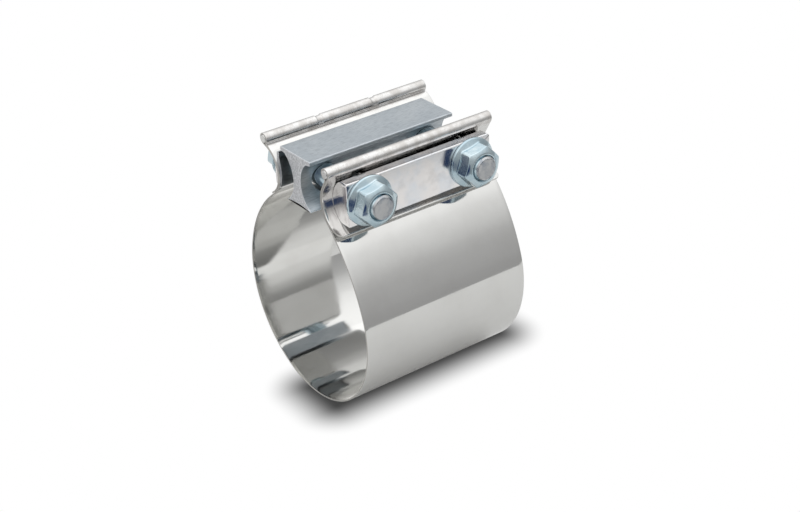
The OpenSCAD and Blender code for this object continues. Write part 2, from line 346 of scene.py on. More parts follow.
def cut(piece, cutters):
    """Cuts the cutters out of the piece, keeps the result as its mesh and deletes the cutters."""
    for cutter in cutters:
        boolean = piece.modifiers.new("punch", "BOOLEAN")
        boolean.operation = "DIFFERENCE"
        boolean.solver = "EXACT"
        boolean.object = cutter
    bpy.context.view_layer.update()
    evaluated = piece.evaluated_get(bpy.context.evaluated_depsgraph_get())
    mesh = bpy.data.meshes.new_from_object(evaluated)
    piece.modifiers.clear()
    piece.data = mesh
    for cutter in cutters:
        bpy.data.objects.remove(cutter)


cut(band, [round_bar("punch", BAND_HOLE_R, x0, x1, y, BOLT_Z)
           for x0, x1 in ((-HEAD_FOLD_X, -PUNCH_START_X), (PUNCH_START_X, NUT_FOLD_X))
           for y in (-BOLT_Y, BOLT_Y)])
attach(band, "clamp")
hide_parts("band")
print("band with holes", len(band.data.polygons), "faces")


# %% [markdown]
# Forged and turned pieces have no sharp inner corners. A profile is a list of corners, each with
# its own radius, and this helper rounds them. A bevel modifier would treat all corners alike.

# %% Helpers for rounded profiles
def fillet(before, corner, after, radius, steps=3):
    """Points that round the corner of a profile."""
    into = Vector(before) - Vector(corner)
    out = Vector(after) - Vector(corner)
    reach = min(radius, into.length * 0.45, out.length * 0.45)
    a = Vector(corner) + into.normalized() * reach
    b = Vector(corner) + out.normalized() * reach
    shares = [k / steps for k in range(steps + 1)]
    return [a.lerp(Vector(corner), s).lerp(Vector(corner).lerp(b, s), s) for s in shares]


def rounded_profile(corners):
    """A profile with each inner corner rounded by the radius that stands with it."""
    points = [Vector(corners[0][:2])]
    for before, corner, after in zip(corners, corners[1:], corners[2:]):
        points += fillet(before[:2], corner[:2], after[:2], corner[2])
    return points + [Vector(corners[-1][:2])]


print("a rounded right angle has", len(fillet((0, 1), (0, 0), (1, 0), 0.2)), "points")


# %% [markdown]
# The nuts are hexagon flange nuts: a hexagon whose corners are turned off at 30 degrees, standing
# on a cone that ends in a thin round flange. Joining a cylinder, a cone and a prism would leave
# knife edges where they meet. Here every angle round the nut gets its own profile from the seat
# to the thread, and the profiles are joined to one closed skin. The angles lie closer together
# near the hexagon's corners.

# %% Skin of a flanged hexagon
HEX_AF = 14.29
HEX_FACE_R = 5.9
HEX_TURN = 12
CORNER_ROUND = 0.22
CHAMFER_SLOPE = math.tan(math.radians(30))
FLANGE_R = 9.525
FLANGE_RIM = 1.1
SEAT_R = FLANGE_R - 0.5
CONE_TOP_R = 6.5
CONE_SLOPE = 1.4 / (FLANGE_R - CONE_TOP_R)
SIDE_ANGLES = (-30, -29.4, -28.6, -27.4, -25.5, -22, -16, -8, 0, 8, 16, 22, 25.5, 27.4, 28.6, 29.4)


def hexagon_radius(offset):
    """Distance from the axis to the hexagon's side, with its corners a little round."""
    plain = HEX_AF / 2 / math.cos(math.radians(offset))
    return plain - CORNER_ROUND * max(0, (abs(offset) - 26) / 4) ** 2


def flanged_hexagon(height, inner_profile):
    """Rings of (angle, profile) round the axis; profile points are (radius, height)."""
    rings = []
    for side in range(6):
        for offset in SIDE_ANGLES:
            side_r = hexagon_radius(offset)
            cone_z = FLANGE_RIM + (FLANGE_R - side_r) * CONE_SLOPE
            shoulder_z = height - (side_r - HEX_FACE_R) * CHAMFER_SLOPE
            corners = [(SEAT_R, 0, 0), (FLANGE_R, 0, 0.25), (FLANGE_R, FLANGE_RIM, 0.35),
                       (side_r, cone_z, 0.45), (side_r, shoulder_z, 0.3),
                       (HEX_FACE_R, height, 0.25)]
            angle = 60 * (side + 2) + offset + HEX_TURN
            rings.append((angle, rounded_profile(corners + inner_profile)))
    return rings


def skin_rings(rings):
    """Points round the axis and faces between neighbouring profiles."""
    points, faces = [], []
    size = len(rings[0][1])
    for angle, profile in rings:
        a = math.radians(angle)
        points += [(z, r * math.sin(a), -r * math.cos(a)) for r, z in profile]
    for i in range(len(rings)):
        j = (i + 1) % len(rings)
        faces += [(i * size + k, i * size + k + 1, j * size + k + 1, j * size + k)
                  for k in range(size - 1)]
    return points, faces


def weld_points(piece):
    """Joins points that lie on each other, and turns every face outwards."""
    bm = bmesh.new()
    bm.from_mesh(piece.data)
    bmesh.ops.remove_doubles(bm, verts=bm.verts, dist=1e-6)
    bmesh.ops.dissolve_degenerate(bm, edges=bm.edges, dist=1e-6)
    bmesh.ops.recalc_face_normals(bm, faces=bm.faces)
    bm.to_mesh(piece.data)
    bm.free()


print("a hexagon has", 6 * len(SIDE_ANGLES), "profiles round its axis")


# %% [markdown]
# A nut's inside is its thread. A real helix would need a finer skin than the outside has, so the
# nut gets ring-shaped grooves at the right pitch: inside a nut nobody can tell the two apart.

# %% Make the two nuts
THREAD_PITCH = 25.4 / 16
NUT_H = 7.8
SINK_R = 5.15
THREAD_HOLE_R = 4.8
FIRST_TURN = 0.75
GROOVE = ((0.25, 0), (0.62, 0.5), (0.78, 0.5), (1.15, 0))
THREAD_ROUND = 0.06


def nut_bore():
    """Profile from the outer face's countersink down through the thread to the seat."""
    profile = [(SINK_R, NUT_H, 0.12), (THREAD_HOLE_R - 0.1, NUT_H - 0.5, 0.1)]
    for turn in range(int(NUT_H / THREAD_PITCH)):
        top = NUT_H - FIRST_TURN - turn * THREAD_PITCH
        profile += [(THREAD_HOLE_R + depth, top - down, THREAD_ROUND) for down, depth in GROOVE]
    return profile + [(THREAD_HOLE_R + 0.3, 0, THREAD_ROUND), (SEAT_R, 0, 0)]


def make_nut(name, y, body):
    """A flange nut on its bar, seated at the CAD nut's lowest X."""
    points, faces = skin_rings(flanged_hexagon(NUT_H, nut_bore()))
    placed = [(nut_low.x + p[0], y + p[1], BOLT_Z + p[2]) for p in points]
    nut = make_piece(name + "_flange_nut", placed, faces)
    weld_points(nut)
    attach(nut, body)
    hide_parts(name + "_nut")
    return nut


nuts = [make_nut("front", -BOLT_Y, "front_nut_body"), make_nut("rear", BOLT_Y, "rear_nut_body")]
print("nut", len(nuts[0].data.polygons), "faces each")


# %% [markdown]
# A bolt's shank is plain near the head and threaded towards the tip. The thread is a ribbon with a
# ridge along it, wound so that each turn meets the last: the faces follow the helix, so its crests
# stay clean with few faces, where a screw modifier would leave its ends open. Past the last full
# turn the tip's chamfer cuts it down.

# %% Shank and thread of a bolt
BOLT_R = 4.75
ROOT_R = 3.93
BOLT_L = 57.15
THREAD_L = 30.0
THREAD_START = BOLT_L - THREAD_L
TIP_CHAMFER = 0.75
TIP_R = BOLT_R - TIP_CHAMFER
TURN_STEPS = 48
RIDGE = ((0.0, 1.0), (0.125, 1.0), (0.42, 0.0), (0.58, 0.0), (0.875, 1.0), (1.0, 1.0))
PLAIN_RINGS = ((-1.0, BOLT_R), (0.6, BOLT_R), (THREAD_START * 0.5, BOLT_R), (THREAD_START, BOLT_R))
TIP_RINGS = ((BOLT_L, TIP_R), (BOLT_L, 0.93 * TIP_R), (BOLT_L - 0.04, 0.6 * TIP_R),
             (BOLT_L - 0.06, 0.3 * TIP_R))


def thread_radius(share, x):
    """Radius of the thread at a share of its ridge and a distance x from the head."""
    run_in = min(1, max(0, (x - THREAD_START) / (1.5 * THREAD_PITCH)))
    plain = BOLT_R - (1 - share) * (BOLT_R - ROOT_R) * run_in
    return min(plain, TIP_R + (BOLT_L - x))


def thread():
    """Points and faces of the ribbon that winds round the shank."""
    points, faces = [], []
    rows = int((THREAD_L / THREAD_PITCH + 1) * TURN_STEPS)
    width = len(RIDGE)
    for i in range(rows + 1):
        a = 2 * math.pi * i / TURN_STEPS
        for place, share in RIDGE:
            x = THREAD_START + (i / TURN_STEPS - 1 + place) * THREAD_PITCH
            x = min(max(x, THREAD_START), BOLT_L)
            r = thread_radius(share, x)
            points.append((x, r * math.sin(a), -r * math.cos(a)))
    for i in range(rows):
        faces += [(i * width + k, i * width + k + 1, (i + 1) * width + k + 1, (i + 1) * width + k)
                  for k in range(width - 1)]
    return points, faces


def tube(rings, first):
    """Points and faces of rings given as (place, radius); first is the first point's number."""
    points, faces = [], []
    for x, r in rings:
        points += [(x, r * math.sin(2 * math.pi * k / TURN_STEPS),
                    -r * math.cos(2 * math.pi * k / TURN_STEPS)) for k in range(TURN_STEPS)]
    for ring in range(len(rings) - 1):
        a = first + ring * TURN_STEPS
        b = a + TURN_STEPS
        faces += [(a + k, a + (k + 1) % TURN_STEPS, b + (k + 1) % TURN_STEPS, b + k)
                  for k in range(TURN_STEPS)]
    return points, faces


def bolt_shank():
    """Points and faces of the shank, from inside the head to the flat tip."""
    points, faces = thread()
    for rings in (PLAIN_RINGS, TIP_RINGS):
        more_points, more_faces = tube(rings, len(points))
        points += more_points
        faces += more_faces
    faces.append(tuple(range(len(points) - TURN_STEPS, len(points))))
    return points, faces


print("shank", len(bolt_shank()[1]), "faces")


# %% [markdown]
# The head is the same flanged hexagon as the nut's, but closed by a shallow dish, as forged heads
# have. It rises towards -X, so its points are mirrored, and then joined with the shank's.

# %% Make the two bolts
HEAD_H = 8.0


def bolt_head():
    """Points and faces of the head, which rises towards -X."""
    dish = [(HEX_FACE_R - 0.6, HEAD_H, 0.1), (4.6, HEAD_H - 0.25, 0.3), (0.6, HEAD_H - 0.3, 0)]
    rings = flanged_hexagon(HEAD_H, dish)
    points, faces = skin_rings(rings)
    size = len(rings[0][1])
    faces.append(tuple(i * size + size - 1 for i in range(len(rings))))
    faces.append(tuple(i * size for i in range(len(rings))))
    return [(-x, y, z) for x, y, z in points], faces


def make_bolt(name, y, body):
    """A flange bolt with its head's seat at the CAD bolt's place."""
    seat_x = bolt_high.x - BOLT_L
    shank_points, shank_faces = bolt_shank()
    head_points, head_faces = bolt_head()
    points = [(seat_x + p[0], y + p[1], BOLT_Z + p[2]) for p in shank_points + head_points]
    shift = len(shank_points)
    faces = shank_faces + [tuple(v + shift for v in f) for f in head_faces]
    bolt = make_piece(name + "_flange_bolt", points, faces)
    weld_points(bolt)
    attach(bolt, body)
    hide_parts(name + "_bolt")
    return bolt


bolts = [make_bolt("front", -BOLT_Y, "front_screw"), make_bolt("rear", BOLT_Y, "rear_screw")]
print("bolt", len(bolts[0].data.polygons), "faces each")


# %% [markdown]
# The block, bars and rods keep their CAD meshes, because their shapes are right. What they lack is
# the small round that every real edge has. A weld joins the points that the CAD export keeps
# apart, and a planar dissolve joins the triangles of each flat face, because a bevel would pull
# them apart. The bevel then rounds the sharp edges, so each one catches its own thin highlight.

# %% Round the edges of the carried-over pieces
EDGE_ROUNDS = {"spacer_block": 0.16, "nut_side_bar": 0.3, "head_side_bar": 0.3,
               "nut_side_rod": 0.35, "head_side_rod": 0.35}
for name, radius in EDGE_ROUNDS.items():
    weld = nodes[name].modifiers.new("weld", "WELD")
    weld.merge_threshold = 1e-6
    joined = nodes[name].modifiers.new("join flat faces", "DECIMATE")
    joined.decimate_type = "DISSOLVE"
    joined.angle_limit = math.radians(0.5)
    bevel = nodes[name].modifiers.new("edge round", "BEVEL")
    bevel.width = radius * MM
    bevel.segments = 3
    bevel.limit_method = "ANGLE"
    bevel.angle_limit = math.radians(32)
    bevel.use_clamp_overlap = False
    bevel.harden_normals = True
    print(name, "edges rounded by", radius, "mm")


# %% [markdown]
# Several finishes share the same effects, and each effect is a node group made once. A group has
# named sockets, so each material sets its own scale and strength. The helper below keeps the
# making of nodes short: it adds one, sets its plain values, and links what feeds it.

# %% Helpers that build nodes
def add_node(tree, kind, values=None, links=None, **settings):
    """One new node, with its socket values, its incoming links and its own settings."""
    new = tree.nodes.new(kind)
    for key, value in settings.items():
        setattr(new, key, value)
    for key, value in (values or {}).items():
        new.inputs[key].default_value = value
    for key, source in (links or {}).items():
        tree.links.new(source, new.inputs[key])
    return new


def new_group(name, inputs, outputs):
    """A shader node group with float sockets; inputs carry their usual values."""
    group = bpy.data.node_groups.new(name, "ShaderNodeTree")
    for socket, value in inputs.items():
        made = group.interface.new_socket(socket, in_out="INPUT", socket_type="NodeSocketFloat")
        made.default_value = value
    for socket in outputs:
        group.interface.new_socket(socket, in_out="OUTPUT", socket_type="NodeSocketFloat")
    return group, group.nodes.new("NodeGroupInput"), group.nodes.new("NodeGroupOutput")


def use_group(tree, group, **values):
    """A placed group with its inputs set; an underscore in a name stands for a space."""
    placed = tree.nodes.new("ShaderNodeGroup")
    placed.node_tree = group
    for key, value in values.items():
        placed.inputs[key.replace("_", " ")].default_value = value
    return placed


def math_node(tree, operation, a, b, clamp=False):
    """A Math node; each side is a number or a socket."""
    made = tree.nodes.new("ShaderNodeMath")
    made.operation = operation
    made.use_clamp = clamp
    for i, side in enumerate((a, b)):
        if isinstance(side, (int, float)):
            made.inputs[i].default_value = side
        else:
            tree.links.new(side, made.inputs[i])
    return made.outputs[0]


print("node helpers are ready")


# %% [markdown]
# Drawn, rolled and extruded metal all carry fine lines along the way they were made, here along
# the pipe. Noise squeezed across that direction gives them. The output is a height for bump, and
# it also varies the roughness. An image of scratches would repeat and need a UV map.

# %% Group for grain along the pipe
def make_grain_group():
    """Fine lines along Y, as a height about 0.5."""
    group, given, result = new_group(
        "grain along Y", {"Across scale": 9000.0, "Stretch": 60.0, "Contrast": 1.0}, ["Height"])
    place = add_node(group, "ShaderNodeTexCoord")
    apart = add_node(group, "ShaderNodeSeparateXYZ", links={0: place.outputs["Object"]})
    across = given.outputs["Across scale"]
    along = math_node(group, "DIVIDE", across, given.outputs["Stretch"])
    squeezed = add_node(group, "ShaderNodeCombineXYZ", links={
        0: math_node(group, "MULTIPLY", apart.outputs[0], across),
        1: math_node(group, "MULTIPLY", apart.outputs[1], along),
        2: math_node(group, "MULTIPLY", apart.outputs[2], across)})
    lines = add_node(group, "ShaderNodeTexNoise", {"Scale": 1.0, "Detail": 4.0, "Roughness": 0.6},
                     {"Vector": squeezed.outputs[0]})
    centred = math_node(group, "SUBTRACT", lines.outputs[0], 0.5)
    stronger = math_node(group, "MULTIPLY", centred, given.outputs["Contrast"])
    group.links.new(math_node(group, "ADD", stronger, 0.5), result.inputs["Height"])
    return group


grain_group = make_grain_group()
print("made group", grain_group.name)


# %% [markdown]
# Hands, oil and plating leave soft blotches. Two noises of different size, pushed towards clear
# edges, give a mask from 0 to 1 that a finish uses for its roughness and its tint.

# %% Group for blotches
def make_blotch_group():
    """Soft patches, as a mask from 0 to 1."""
    group, given, result = new_group(
        "blotches", {"Scale": 120.0, "Low": 0.4, "High": 0.7, "Seed": 0.0}, ["Mask"])
    place = add_node(group, "ShaderNodeTexCoord")
    moved = add_node(group, "ShaderNodeVectorMath", links={0: place.outputs["Object"]},
                     operation="ADD")
    group.links.new(given.outputs["Seed"], moved.inputs[1])
    broad = add_node(group, "ShaderNodeTexNoise", {"Detail": 3.0, "Roughness": 0.55},
                     {"Vector": moved.outputs[0], "Scale": given.outputs["Scale"]})
    fine = add_node(group, "ShaderNodeTexNoise", {"Detail": 5.0, "Roughness": 0.7},
                    {"Vector": moved.outputs[0],
                     "Scale": math_node(group, "MULTIPLY", given.outputs["Scale"], 5.3)})
    both = math_node(group, "ADD", math_node(group, "MULTIPLY", broad.outputs[0], 0.75),
                     math_node(group, "MULTIPLY", fine.outputs[0], 0.25))
    ramp = add_node(group, "ShaderNodeMapRange", links={
        "Value": both, "From Min": given.outputs["Low"], "From Max": given.outputs["High"]},
        interpolation_type="SMOOTHSTEP")
    group.links.new(ramp.outputs[0], result.inputs["Mask"])
    return group


blotch_group = make_blotch_group()
print("made group", blotch_group.name)


# %% [markdown]
# Edges that rub lose their finish first. The Bevel node looks round an edge and returns a blended
# normal; where it differs from the true normal there is an edge. Broken up with noise, that is a
# mask for the edges of any mesh, with no texture painted by hand. The finishes make these edges
# brighter, which is partly wear and partly a painted highlight along each edge.

# %% Group for edge wear and painted edge highlights
def make_wear_and_highlight_group():
    """Edges for wear and a painted highlight, as a mask from 0 to 1."""
    group, given, result = new_group(
        "edge wear and painted highlight", {"Radius": 0.0005, "Strength": 3.0, "Break up": 0.5}, ["Mask"])
    bevelled = add_node(group, "ShaderNodeBevel", samples=6)
    group.links.new(given.outputs["Radius"], bevelled.inputs["Radius"])
    plain = add_node(group, "ShaderNodeNewGeometry")
    likeness = add_node(group, "ShaderNodeVectorMath", links={
        0: bevelled.outputs[0], 1: plain.outputs["Normal"]}, operation="DOT_PRODUCT")
    unlike = math_node(group, "SUBTRACT", 1.0, likeness.outputs["Value"])
    stronger = math_node(group, "MULTIPLY", unlike, given.outputs["Strength"])
    place = add_node(group, "ShaderNodeTexCoord")
    patches = add_node(group, "ShaderNodeTexNoise", {"Scale": 900.0, "Detail": 3.0},
                       {"Vector": place.outputs["Object"]})
    broken = math_node(group, "MULTIPLY", patches.outputs[0], given.outputs["Break up"])
    kept = math_node(group, "SUBTRACT", 1.0, broken)
    group.links.new(math_node(group, "MULTIPLY", stronger, kept, clamp=True),
                    result.inputs["Mask"])
    return group


wear_and_highlight_group = make_wear_and_highlight_group()
print("made group", wear_and_highlight_group.name)


# %% [markdown]
# The block and the bars are cut to length across the pipe, and a cut end looks rougher than the
# long faces. The normal's Y tells the two apart, and it is the same from every side. Giving the
# ends a material of their own would also work, but the CAD pieces keep the slots they have.

# %% Group for cut ends
def make_cut_group():
    """A mask that is 1 on faces square to the pipe's direction."""
    group, given, result = new_group("cut ends", {"Limit": 0.7}, ["Mask"])
    facing = add_node(group, "ShaderNodeNewGeometry")
    apart = add_node(group, "ShaderNodeSeparateXYZ", links={0: facing.outputs["Normal"]})
    along = math_node(group, "ABSOLUTE", apart.outputs[1], 0)
    group.links.new(math_node(group, "GREATER_THAN", along, given.outputs["Limit"]),
                    result.inputs["Mask"])
    return group


cut_group = make_cut_group()
print("made group", cut_group.name)


# %% [markdown]
# A finish is a Principled shader with the groups feeding its colour, roughness and normal. Metallic
# stays at 1 for all of them, because bare and zinc-plated metal both reflect like metal: what
# tells them apart is tint, roughness and grain.

# %% Helpers for a finish
def new_finish(name, metallic=1.0):
    """A material with a bare Principled shader."""
    made = bpy.data.materials.new(name)
    made.use_nodes = True
    shader = made.node_tree.nodes["Principled BSDF"]
    shader.inputs["Metallic"].default_value = metallic
    return made, made.node_tree, shader


def blend_colours(tree, mask, low, high):
    """A colour between low and high by the mask; each is a colour or a socket."""
    mix = add_node(tree, "ShaderNodeMix", data_type="RGBA")
    tree.links.new(mask, mix.inputs["Factor"])
    for socket, colour in ((mix.inputs[6], low), (mix.inputs[7], high)):
        if isinstance(colour, tuple):
            socket.default_value = (*colour, 1.0)
        else:
            tree.links.new(colour, socket)
    return mix.outputs[2]


def blend_values(tree, mask, low, high):
    """A number between low and high by the mask; each is a number or a socket."""
    mix = add_node(tree, "ShaderNodeMix", data_type="FLOAT")
    tree.links.new(mask, mix.inputs["Factor"])
    for socket, value in ((mix.inputs[2], low), (mix.inputs[3], high)):
        if isinstance(value, (int, float)):
            socket.default_value = value
        else:
            tree.links.new(value, socket)
    return mix.outputs[0]


def bump(tree, height, strength, distance_mm, below=None):
    """A Bump node over an optional one below it."""
    made = add_node(tree, "ShaderNodeBump", {"Strength": strength, "Distance": distance_mm * MM},
                    {"Height": height})
    if below is not None:
        tree.links.new(below, made.inputs["Normal"])
    return made.outputs[0]


print("finish helpers are ready")


# %% [markdown]
# Polished stainless sheet. It is close to a mirror, with faint rolling lines, soft smears where it
# was wiped, and duller sheared edges at its rims, which the mesh marks with its rim attribute.
# Pressing the sheet round the rods rubs off its polish, so the two loops are satin and mottled.
# A renderer follows light for a few bounces only, and between two mirrors the rest would be black.
# So below the folds the sheet gives a little light of its own to rays that have bounced often.

# %% Finish of the band
PRESSED_LOW_Z = ROD_Z - LOOP_R - 0.6
PRESSED_HIGH_Z = PRESSED_LOW_Z + 0.6
ROUND_TOP_Z = 41.8
LAST_BOUNCE = 2.5


def make_stainless():
    """A mirror with smears and rolling lines, satin where it is pressed round the rods."""
    finish, tree, shader = new_finish("polished stainless sheet")
    grain = use_group(tree, grain_group, Across_scale=2600.0, Stretch=70.0, Contrast=1.0)
    smears = use_group(tree, blotch_group, Scale=55.0, Low=0.42, High=0.68, Seed=3.0)
    marks = use_group(tree, blotch_group, Scale=260.0, Low=0.4, High=0.62, Seed=14.0)
    place = add_node(tree, "ShaderNodeTexCoord")
    apart = add_node(tree, "ShaderNodeSeparateXYZ", links={0: place.outputs["Object"]})
    pressed = add_node(tree, "ShaderNodeMapRange", {
        "From Min": PRESSED_LOW_Z * MM, "From Max": PRESSED_HIGH_Z * MM},
        {"Value": apart.outputs[2]}).outputs[0]
    rim = add_node(tree, "ShaderNodeAttribute", attribute_name="rim").outputs["Fac"]
    wiped = blend_values(tree, smears.outputs[0], 0.05, 0.09)
    lined = math_node(tree, "ADD", wiped, math_node(tree, "MULTIPLY", grain.outputs[0], 0.02))
    rubbed = blend_values(tree, marks.outputs[0], 0.16, 0.3)
    rolled = blend_values(tree, pressed, lined, rubbed)
    tree.links.new(blend_values(tree, rim, rolled, 0.28), shader.inputs["Roughness"])
    bright = blend_colours(tree, smears.outputs[0], (0.635, 0.635, 0.625), (0.61, 0.608, 0.597))
    handled = blend_colours(tree, marks.outputs[0], (0.66, 0.655, 0.65), (0.53, 0.515, 0.5))
    sheet = blend_colours(tree, pressed, bright, handled)
    tree.links.new(blend_colours(tree, rim, sheet, (0.46, 0.45, 0.43)),
                   shader.inputs["Base Color"])
    fine = bump(tree, grain.outputs[0], 0.02, 0.02)
    ripples = math_node(tree, "MULTIPLY", marks.outputs[0], pressed)
    tree.links.new(bump(tree, ripples, 0.25, 0.05, fine), shader.inputs["Normal"])
    shader.inputs["Emission Color"].default_value = (0.40, 0.395, 0.385, 1)
    round_part = math_node(tree, "LESS_THAN", apart.outputs[2], ROUND_TOP_Z * MM)
    ray = add_node(tree, "ShaderNodeLightPath")
    deep = math_node(tree, "GREATER_THAN", ray.outputs["Ray Depth"], LAST_BOUNCE)
    tree.links.new(math_node(tree, "MULTIPLY", deep, round_part),
                   shader.inputs["Emission Strength"])
    return finish


stainless = make_stainless()
band.data.materials.clear()
band.data.materials.append(stainless)
print("band wears", stainless.name)


# %% [markdown]
# Bright drawn wire, for the rods. Wire is pulled through a die, so its lines run lengthwise. Only
# the ends show, inside the loops, so a plain satin metal is enough, with a highlight painted on
# its edges as a brighter colour.

# %% Finish of the rods
def make_wire():
    """Satin steel with lines along the pipe and a painted highlight on its edges."""
    finish, tree, shader = new_finish("bright drawn wire")
    grain = use_group(tree, grain_group, Across_scale=7000.0, Stretch=40.0, Contrast=1.4)
    edges = use_group(tree, wear_and_highlight_group, Radius=0.0004, Strength=4.0, Break_up=0.4)
    rough = math_node(tree, "ADD", math_node(tree, "MULTIPLY", grain.outputs[0], 0.18), 0.16)
    tree.links.new(rough, shader.inputs["Roughness"])
    # The edge mask paints a highlight: the brighter colour on the edges stands in for light along
    # them.
    tree.links.new(blend_colours(tree, edges.outputs[0], (0.62, 0.62, 0.61), (0.8, 0.8, 0.79)),
                   shader.inputs["Base Color"])
    tree.links.new(bump(tree, grain.outputs[0], 0.25, 0.03), shader.inputs["Normal"])
    return finish


wire = make_wire()
print("made finish", wire.name)


# %% [markdown]
# The block is sawn from an aluminium extrusion. Its long faces are satin, with die lines along the
# pipe and a few dark specks, its sawn ends are grainier and paler, and its edges are brighter,
# partly from wear and partly as a painted highlight.

# %% Finish of the block
def make_aluminium():
    """Satin metal with die lines, pale grainy ends, and edges made bright by wear and a painted
    highlight.
    """
    finish, tree, shader = new_finish("satin aluminium extrusion")
    die_lines = use_group(tree, grain_group, Across_scale=4200.0, Stretch=14.0, Contrast=1.8)
    edges = use_group(tree, wear_and_highlight_group, Radius=0.0006, Strength=8.0, Break_up=0.35)
    clouds = use_group(tree, blotch_group, Scale=90.0, Low=0.35, High=0.7, Seed=11.0)
    specks = use_group(tree, blotch_group, Scale=420.0, Low=0.66, High=0.72, Seed=5.0)
    sawn = use_group(tree, cut_group, Limit=0.7).outputs[0]
    place = add_node(tree, "ShaderNodeTexCoord")
    saw_grain = add_node(tree, "ShaderNodeTexNoise",
                         {"Scale": 1500.0, "Detail": 6.0, "Roughness": 0.7},
                         {"Vector": place.outputs["Object"]})
    coarse = add_node(tree, "ShaderNodeMapRange", {"From Min": 0.36, "From Max": 0.64},
                      {"Value": saw_grain.outputs[0]}).outputs[0]
    grit = add_node(tree, "ShaderNodeMapRange", {"From Min": 0.5, "From Max": 0.75},
                    {"Value": die_lines.outputs[0]}).outputs[0]
    smooth = blend_colours(tree, clouds.outputs[0], (0.40, 0.44, 0.475), (0.46, 0.495, 0.525))
    body = blend_colours(tree, grit, smooth, (0.29, 0.32, 0.35))
    ends = blend_colours(tree, coarse, (0.42, 0.43, 0.45), (0.76, 0.77, 0.79))
    dirty = blend_colours(tree, specks.outputs[0], body, (0.26, 0.28, 0.31))
    sided = blend_colours(tree, sawn, dirty, ends)
    # Brighter edges: partly wear, partly a painted highlight along each edge.
    tree.links.new(blend_colours(tree, edges.outputs[0], sided, (0.88, 0.9, 0.93)),
                   shader.inputs["Base Color"])
    satin = math_node(tree, "ADD", math_node(tree, "MULTIPLY", die_lines.outputs[0], 0.16), 0.3)
    tree.links.new(blend_values(tree, sawn, satin, 0.52), shader.inputs["Roughness"])
    height = blend_values(tree, sawn, die_lines.outputs[0], saw_grain.outputs[0])
    tree.links.new(bump(tree, height, 0.35, 0.05), shader.inputs["Normal"])
    return finish


aluminium = make_aluminium()
print("made finish", aluminium.name)


# %% [markdown]
# The bars and the hardware are zinc-plated. Clear zinc is bright with faint pastel tints, and the
# blue passivation on the nuts and bolts leans to pale cyan. One function makes both finishes, each
# with its own colours. Plating keeps the small dents of the forging or rolling under it. The bars'
# sheared ends are blotchy, and the bolts' tips, which were cropped to length, are greyer.

# %% Finish of the zinc-plated pieces
TIP_START_X = bolt_high.x - 0.9
TIP_ROUGHNESS = 0.34
HAZE_FACTOR = 1.7


def make_zinc(name, main, second, edge, rough, dents, cut_end=None, bare_tip=None):
    """Plated steel; cut_end colours the ends across the pipe, bare_tip the tips of the bolts."""
    finish, tree, shader = new_finish(name)
    tint = use_group(tree, blotch_group, Scale=150.0, Low=0.38, High=0.66, Seed=8.0)
    haze = use_group(tree, blotch_group, Scale=320.0, Low=0.45, High=0.7, Seed=2.0)
    edges = use_group(tree, wear_and_highlight_group, Radius=0.0003, Strength=3.0, Break_up=0.5)
    fine = use_group(tree, grain_group, Across_scale=3200.0, Stretch=3.0, Contrast=1.0)
    colour = blend_colours(tree, tint.outputs[0], main, second)
    if cut_end:
        ends = use_group(tree, cut_group, Limit=0.7)
        sheared = blend_colours(tree, haze.outputs[0], main, cut_end)
        colour = blend_colours(tree, ends.outputs[0], colour, sheared)
    # Brighter edges: partly plating worn off, partly a painted highlight along each edge.
    colour = blend_colours(tree, edges.outputs[0], colour, edge)
    roughness = blend_values(tree, haze.outputs[0], rough, rough * HAZE_FACTOR)
    if bare_tip:
        place = add_node(tree, "ShaderNodeTexCoord")
        apart = add_node(tree, "ShaderNodeSeparateXYZ", links={0: place.outputs["Object"]})
        tip = math_node(tree, "GREATER_THAN", apart.outputs[0], TIP_START_X * MM)
        colour = blend_colours(tree, tip, colour, blend_colours(tree, haze.outputs[0], *bare_tip))
        roughness = blend_values(tree, tip, roughness, TIP_ROUGHNESS)
    tree.links.new(colour, shader.inputs["Base Color"])
    tree.links.new(roughness, shader.inputs["Roughness"])
    soft = bump(tree, tint.outputs[0], dents, 0.08)
    tree.links.new(bump(tree, fine.outputs[0], dents * 0.6, 0.02, soft), shader.inputs["Normal"])
    return finish


bar_zinc = make_zinc("bright zinc plate", (0.80, 0.78, 0.775), (0.72, 0.745, 0.785),
                     (0.88, 0.89, 0.91), 0.16, 0.03, cut_end=(0.60, 0.57, 0.57))
blue_zinc = make_zinc("clear blue zinc plate", (0.40, 0.51, 0.57), (0.53, 0.62, 0.66),
                      (0.84, 0.92, 0.96), 0.11, 0.4,
                      bare_tip=((0.50, 0.51, 0.52), (0.30, 0.33, 0.37)))
print("made finishes", bar_zinc.name, "and", blue_zinc.name)


# %% [markdown]
# Pieces made here take their finish as a new material. A carried-over CAD piece keeps its mesh, so
# its finish goes into the material slots of its object instead.

# %% Dress the pieces
for piece in nuts + bolts:
    piece.data.materials.clear()
    piece.data.materials.append(blue_zinc)
for name, finish in (("spacer_block", aluminium), ("nut_side_bar", bar_zinc),
                     ("head_side_bar", bar_zinc), ("nut_side_rod", wire),
                     ("head_side_rod", wire)):
    for material_slot in nodes[name].material_slots:
        material_slot.material = finish
    print(name, "wears", finish.name)


# %% [markdown]
# A mirror shows the room more than itself, so the room decides how the band looks. The floor is a
# pale sheet that ends just past the right of the picture. Two dark places on it, one nearly black
# and one navy, are seen only in the metal, as cards in a studio are. What the camera sees is a
# plain white ground with a soft shadow: it grows lighter with the distance from a box that lies
# under the clamp, and stays the same in every pose. A lamp's own shadow would need far more samples
# to be as soft.

